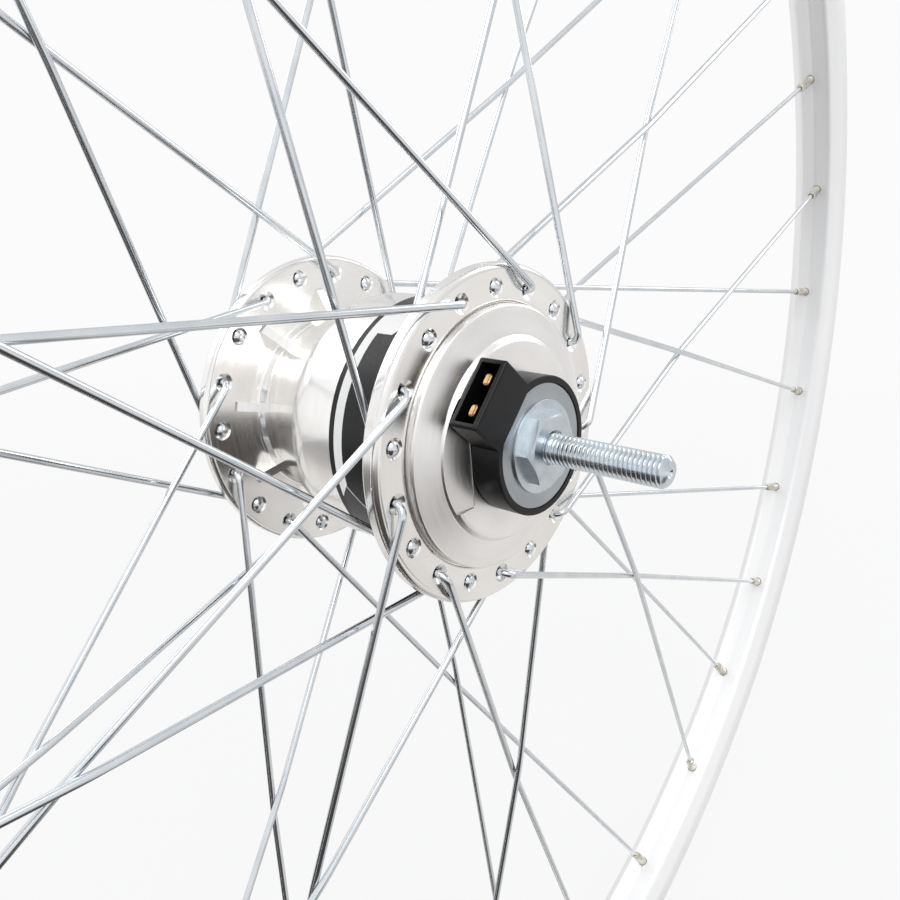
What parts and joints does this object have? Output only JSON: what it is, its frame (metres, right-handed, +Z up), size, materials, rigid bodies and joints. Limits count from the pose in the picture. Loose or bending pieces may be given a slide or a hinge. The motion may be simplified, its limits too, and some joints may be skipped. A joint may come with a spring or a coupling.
{
  "type": "dynamo front wheel",
  "caption": "Bicycle front wheel with a hub dynamo on a solid axle, crossed spokes and a narrow clincher rim, without its tyre.",
  "frame": {"origin": "the wheel's centre: on the axle, midway between the faces that the fork closes on", "axes": "+Y along the axle from the connector side to the plain side, +Z up"},
  "size_m": [0.635, 0.164, 0.635],
  "materials": {
    "hub_aluminium": "turned satin, clear anodised",
    "rim_aluminium": "satin, clear anodised",
    "spoke_steel": "zinc plated, bright",
    "nipple_brass": "nickel plated",
    "zinc_steel": "zinc plated, bluish",
    "bearing_steel": "ground and hardened",
    "stator_steel": "pressed and plated steel",
    "magnet": "sintered ferrite",
    "black_plastic": "moulded, fine grained",
    "brass": "bright",
    "copper": "enamelled copper wire",
    "wire_insulation": "smooth",
    "label_foil": "printed foil",
    "rubber": "smooth"
  },
  "bodies": {
    "axle_unit": {"axle": "zinc_steel", "locknut_connector": "zinc_steel", "locknut_plain": "zinc_steel", "lock_washer_connector": "zinc_steel", "lock_washer_plain": "zinc_steel", "spacer_plain": "zinc_steel", "terminal_disc": "zinc_steel", "connector_housing": "black_plastic", "contact_blades": "brass", "lead_wires": "wire_insulation", "stator_nuts": "zinc_steel", "claw_plate_connector": "stator_steel", "claw_plate_plain": "stator_steel", "stator_core": "stator_steel", "coil_bobbin": "black_plastic", "coil_winding": "copper", "cone_connector": "bearing_steel", "cone_plain": "bearing_steel"},
    "wheel": {"hub_shell": "hub_aluminium", "hub_end_cap": "hub_aluminium", "dust_cap_plain": "zinc_steel", "label_band": "label_foil", "magnet_yoke": "stator_steel", "magnets": "magnet", "seal_connector": "rubber", "seal_plain": "rubber", "cup_connector": "bearing_steel", "cup_plain": "bearing_steel", "spokes_connector_heads_out": "spoke_steel", "spokes_connector_heads_in": "spoke_steel", "spokes_plain_heads_out": "spoke_steel", "spokes_plain_heads_in": "spoke_steel", "nipples_connector": "nipple_brass", "nipples_plain": "nipple_brass", "rim": "rim_aluminium", "rim_tape": "rubber"},
    "bearing_connector": {"ball_cage_connector": "bearing_steel", "balls_connector": "bearing_steel"},
    "bearing_plain": {"ball_cage_plain": "bearing_steel", "balls_plain": "bearing_steel"}
  },
  "joints": [
    {"name": "wheel_spin", "type": "hinge", "parent": "axle_unit", "child": "wheel", "pos_m": [0, 0, 0], "axis": [0, 1, 0], "continuous": true},
    {"name": "balls_connector_orbit", "type": "hinge", "parent": "axle_unit", "child": "bearing_connector", "pos_m": [0, -0.0316, 0], "axis": [0, 1, 0], "continuous": true},
    {"name": "balls_plain_orbit", "type": "hinge", "parent": "axle_unit", "child": "bearing_plain", "pos_m": [0, 0.0346, 0], "axis": [0, 1, 0], "continuous": true}
  ],
  "couplings": [
    {"joint": "balls_connector_orbit", "follows": "wheel_spin", "ratio": 0.587},
    {"joint": "balls_plain_orbit", "follows": "wheel_spin", "ratio": 0.587}
  ]
}
